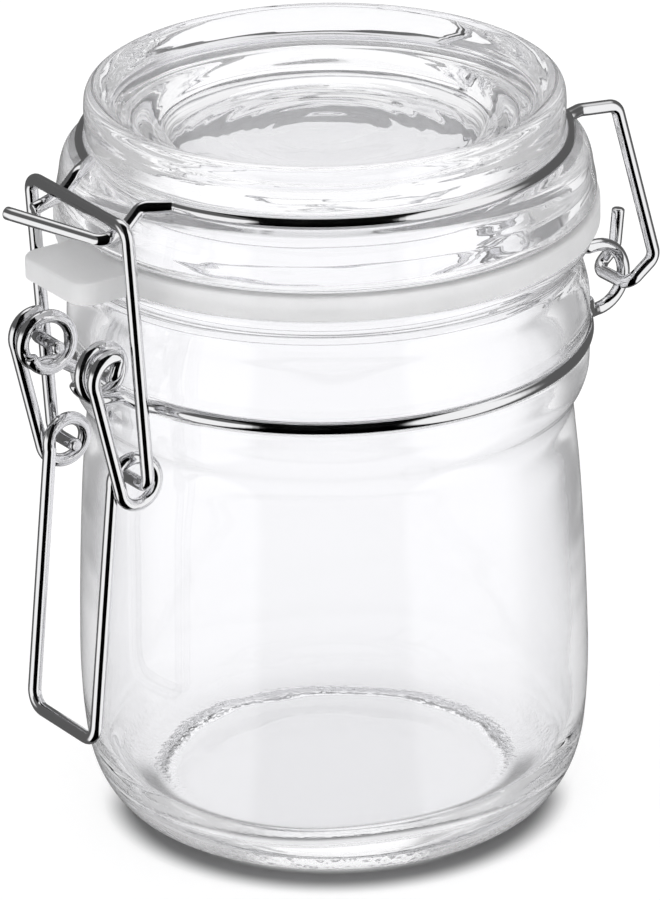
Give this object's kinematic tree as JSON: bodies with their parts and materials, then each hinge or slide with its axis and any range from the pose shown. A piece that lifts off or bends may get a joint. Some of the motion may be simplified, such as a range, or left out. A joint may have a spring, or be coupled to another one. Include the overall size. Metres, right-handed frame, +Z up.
{
  "type": "glass storage jar",
  "caption": "Clear glass clip-top storage jar, empty, with a hinged glass lid, rubber ring and a wire latch with an over-centre lever.",
  "frame": {"origin": "centre of the flat underside, on the jar's axis", "axes": "+Z up along the jar's axis, the latch at -Y and the hinge at +Y"},
  "size_m": [0.0938, 0.118, 0.132],
  "materials": {
    "clear_glass": "clear, smooth",
    "frosted_rubber": "translucent white, satin",
    "polished_steel": "polished wire"
  },
  "bodies": {
    "jar": {"jar_glass": "clear_glass", "neck_wire": "polished_steel"},
    "lid": {"lid_glass": "clear_glass", "seal_ring": "frosted_rubber", "lid_wire_left": "polished_steel", "lid_wire_right": "polished_steel"},
    "lever": {"lever": "polished_steel"},
    "clamp": {"clamp": "polished_steel"}
  },
  "joints": [
    {"name": "lid_hinge", "type": "hinge", "parent": "jar", "child": "lid", "pos_m": [0, 0.0516, 0.0879], "axis": [-1, 0, 0], "range_deg": [0, 180]},
    {"name": "lever_pivot", "type": "hinge", "parent": "jar", "child": "lever", "pos_m": [0, -0.052, 0.0944], "axis": [-1, 0, 0], "range_deg": [0, 140]},
    {"name": "clamp_pivot", "type": "hinge", "parent": "lever", "child": "clamp", "pos_m": [0, -0.0473, 0.0742], "axis": [-1, 0, 0], "range_deg": [-140, 0]}
  ],
  "couplings": [
    {"joint": "clamp_pivot", "follows": "lever_pivot", "ratio": -1}
  ]
}
